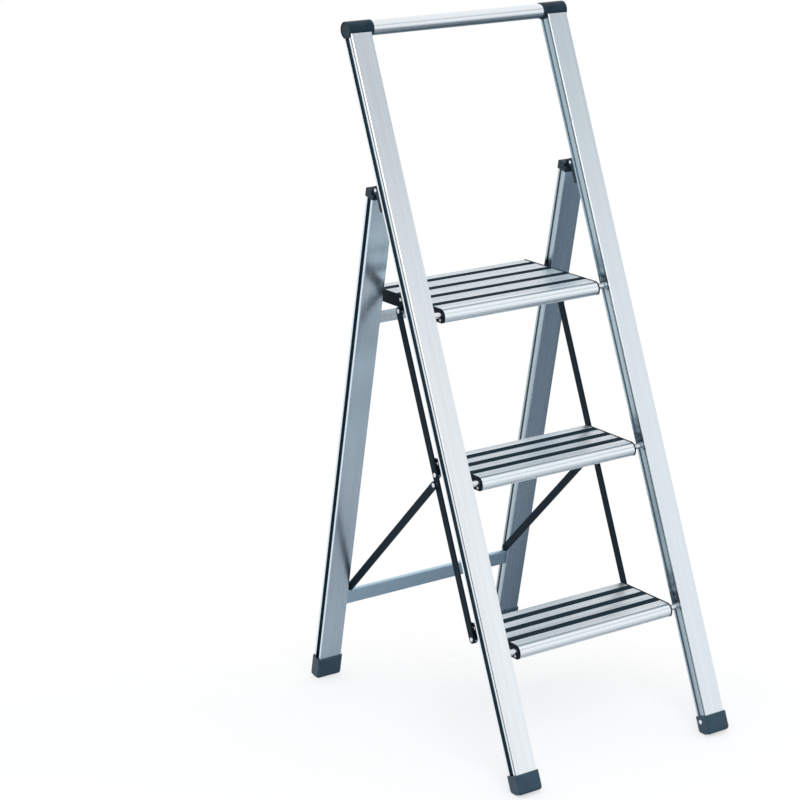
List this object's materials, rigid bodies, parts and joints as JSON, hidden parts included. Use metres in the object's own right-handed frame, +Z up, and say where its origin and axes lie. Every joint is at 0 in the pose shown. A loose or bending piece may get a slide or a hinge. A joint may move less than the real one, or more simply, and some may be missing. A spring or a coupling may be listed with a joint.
{
  "type": "folding step ladder",
  "caption": "Slim aluminium folding step ladder with a handle tube, level ribbed treads and a link that lifts the treads flat between the rails as the rear frame closes.",
  "frame": {"origin": "middle of the footprint of the open ladder, on the floor", "axes": "+Z up, -Y towards the user who climbs, +X across the treads"},
  "size_m": [0.446, 0.639, 1.1968],
  "materials": {
    "rail_aluminium": "satin anodised extrusion",
    "tread_aluminium": "satin extrusion with fine lengthwise lines",
    "black_plastic": "moulded, slightly satin",
    "strip_rubber": "ribbed anti-slip strip",
    "black_steel": "dark satin paint",
    "zinc_steel": "zinc plated",
    "rod_steel": "bright drawn bar"
  },
  "bodies": {
    "front_frame": {"front_rail_left": "rail_aluminium", "front_rail_right": "rail_aluminium", "handle_tube": "rail_aluminium", "handle_cap_left": "black_plastic", "handle_cap_right": "black_plastic", "handle_plug_left": "black_plastic", "handle_plug_right": "black_plastic", "front_foot_left": "black_plastic", "front_foot_right": "black_plastic", "front_foot_rivets": "zinc_steel", "step_rod_top": "rod_steel", "step_rod_middle": "rod_steel", "step_rod_bottom": "rod_steel", "hinge_bracket_left": "black_steel", "hinge_bracket_right": "black_steel", "hinge_bracket_rivets": "zinc_steel", "hinge_pins": "zinc_steel"},
    "rear_frame": {"rear_rail_left": "rail_aluminium", "rear_rail_right": "rail_aluminium", "hinge_cap_left": "black_plastic", "hinge_cap_right": "black_plastic", "lower_crossbar": "rail_aluminium", "upper_crossbar": "rail_aluminium", "rear_foot_left": "black_plastic", "rear_foot_right": "black_plastic", "rear_foot_rivets": "zinc_steel", "strut_pivots": "zinc_steel"},
    "step_top": {"tread_top": "tread_aluminium", "tread_strips_top": "strip_rubber", "step_cap_top_left": "black_plastic", "step_cap_top_right": "black_plastic", "step_cap_screws_top": "zinc_steel", "link_pins_top": "zinc_steel"},
    "step_middle": {"tread_middle": "tread_aluminium", "tread_strips_middle": "strip_rubber", "step_cap_middle_left": "black_plastic", "step_cap_middle_right": "black_plastic", "step_cap_screws_middle": "zinc_steel", "link_pins_middle": "zinc_steel"},
    "step_bottom": {"tread_bottom": "tread_aluminium", "tread_strips_bottom": "strip_rubber", "step_cap_bottom_left": "black_plastic", "step_cap_bottom_right": "black_plastic", "step_cap_screws_bottom": "zinc_steel", "link_pins_bottom": "zinc_steel"},
    "link_left": {"link_bar_left": "black_steel", "strut_stud_left": "zinc_steel"},
    "brace_left": {"strut_left": "black_steel", "strut_rivet_left": "zinc_steel"},
    "link_right": {"link_bar_right": "black_steel", "strut_stud_right": "zinc_steel"},
    "brace_right": {"strut_right": "black_steel", "strut_rivet_right": "zinc_steel"}
  },
  "joints": [
    {"name": "fold", "type": "hinge", "parent": "front_frame", "child": "rear_frame", "pos_m": [0, 0.08224, 0.93092], "axis": [-1, 0, 0], "range_deg": [0, 34.4]},
    {"name": "step_top_turn", "type": "hinge", "parent": "front_frame", "child": "step_top", "pos_m": [0, -0.01707, 0.73308], "axis": [1, 0, 0], "range_deg": [0, 68.5]},
    {"name": "step_middle_turn", "type": "hinge", "parent": "front_frame", "child": "step_middle", "pos_m": [0, -0.12051, 0.47182], "axis": [1, 0, 0], "range_deg": [0, 68.5]},
    {"name": "step_bottom_turn", "type": "hinge", "parent": "front_frame", "child": "step_bottom", "pos_m": [0, -0.22395, 0.21055], "axis": [1, 0, 0], "range_deg": [0, 68.5]},
    {"name": "link_left_turn", "type": "hinge", "parent": "step_middle", "child": "link_left", "pos_m": [0, -0.00351, 0.45482], "axis": [-1, 0, 0], "range_deg": [0, 68.5]},
    {"name": "link_right_turn", "type": "hinge", "parent": "step_middle", "child": "link_right", "pos_m": [0, -0.00351, 0.45482], "axis": [-1, 0, 0], "range_deg": [0, 68.5]},
    {"name": "brace_left_turn", "type": "hinge", "parent": "rear_frame", "child": "brace_left", "pos_m": [0, 0.26132, 0.17653], "axis": [-1, 0, 0], "range_deg": [0, 31.82]},
    {"name": "brace_right_turn", "type": "hinge", "parent": "rear_frame", "child": "brace_right", "pos_m": [0, 0.26132, 0.17653], "axis": [-1, 0, 0], "range_deg": [0, 31.82]}
  ],
  "couplings": [
    {"joint": "step_top_turn", "follows": "fold", "ratio": 1.9884},
    {"joint": "step_middle_turn", "follows": "fold", "ratio": 1.9884},
    {"joint": "step_bottom_turn", "follows": "fold", "ratio": 1.9884},
    {"joint": "link_left_turn", "follows": "fold", "ratio": 1.9884},
    {"joint": "link_right_turn", "follows": "fold", "ratio": 1.9884},
    {"joint": "brace_left_turn", "follows": "fold", "ratio": 0.92216},
    {"joint": "brace_right_turn", "follows": "fold", "ratio": 0.92216}
  ]
}
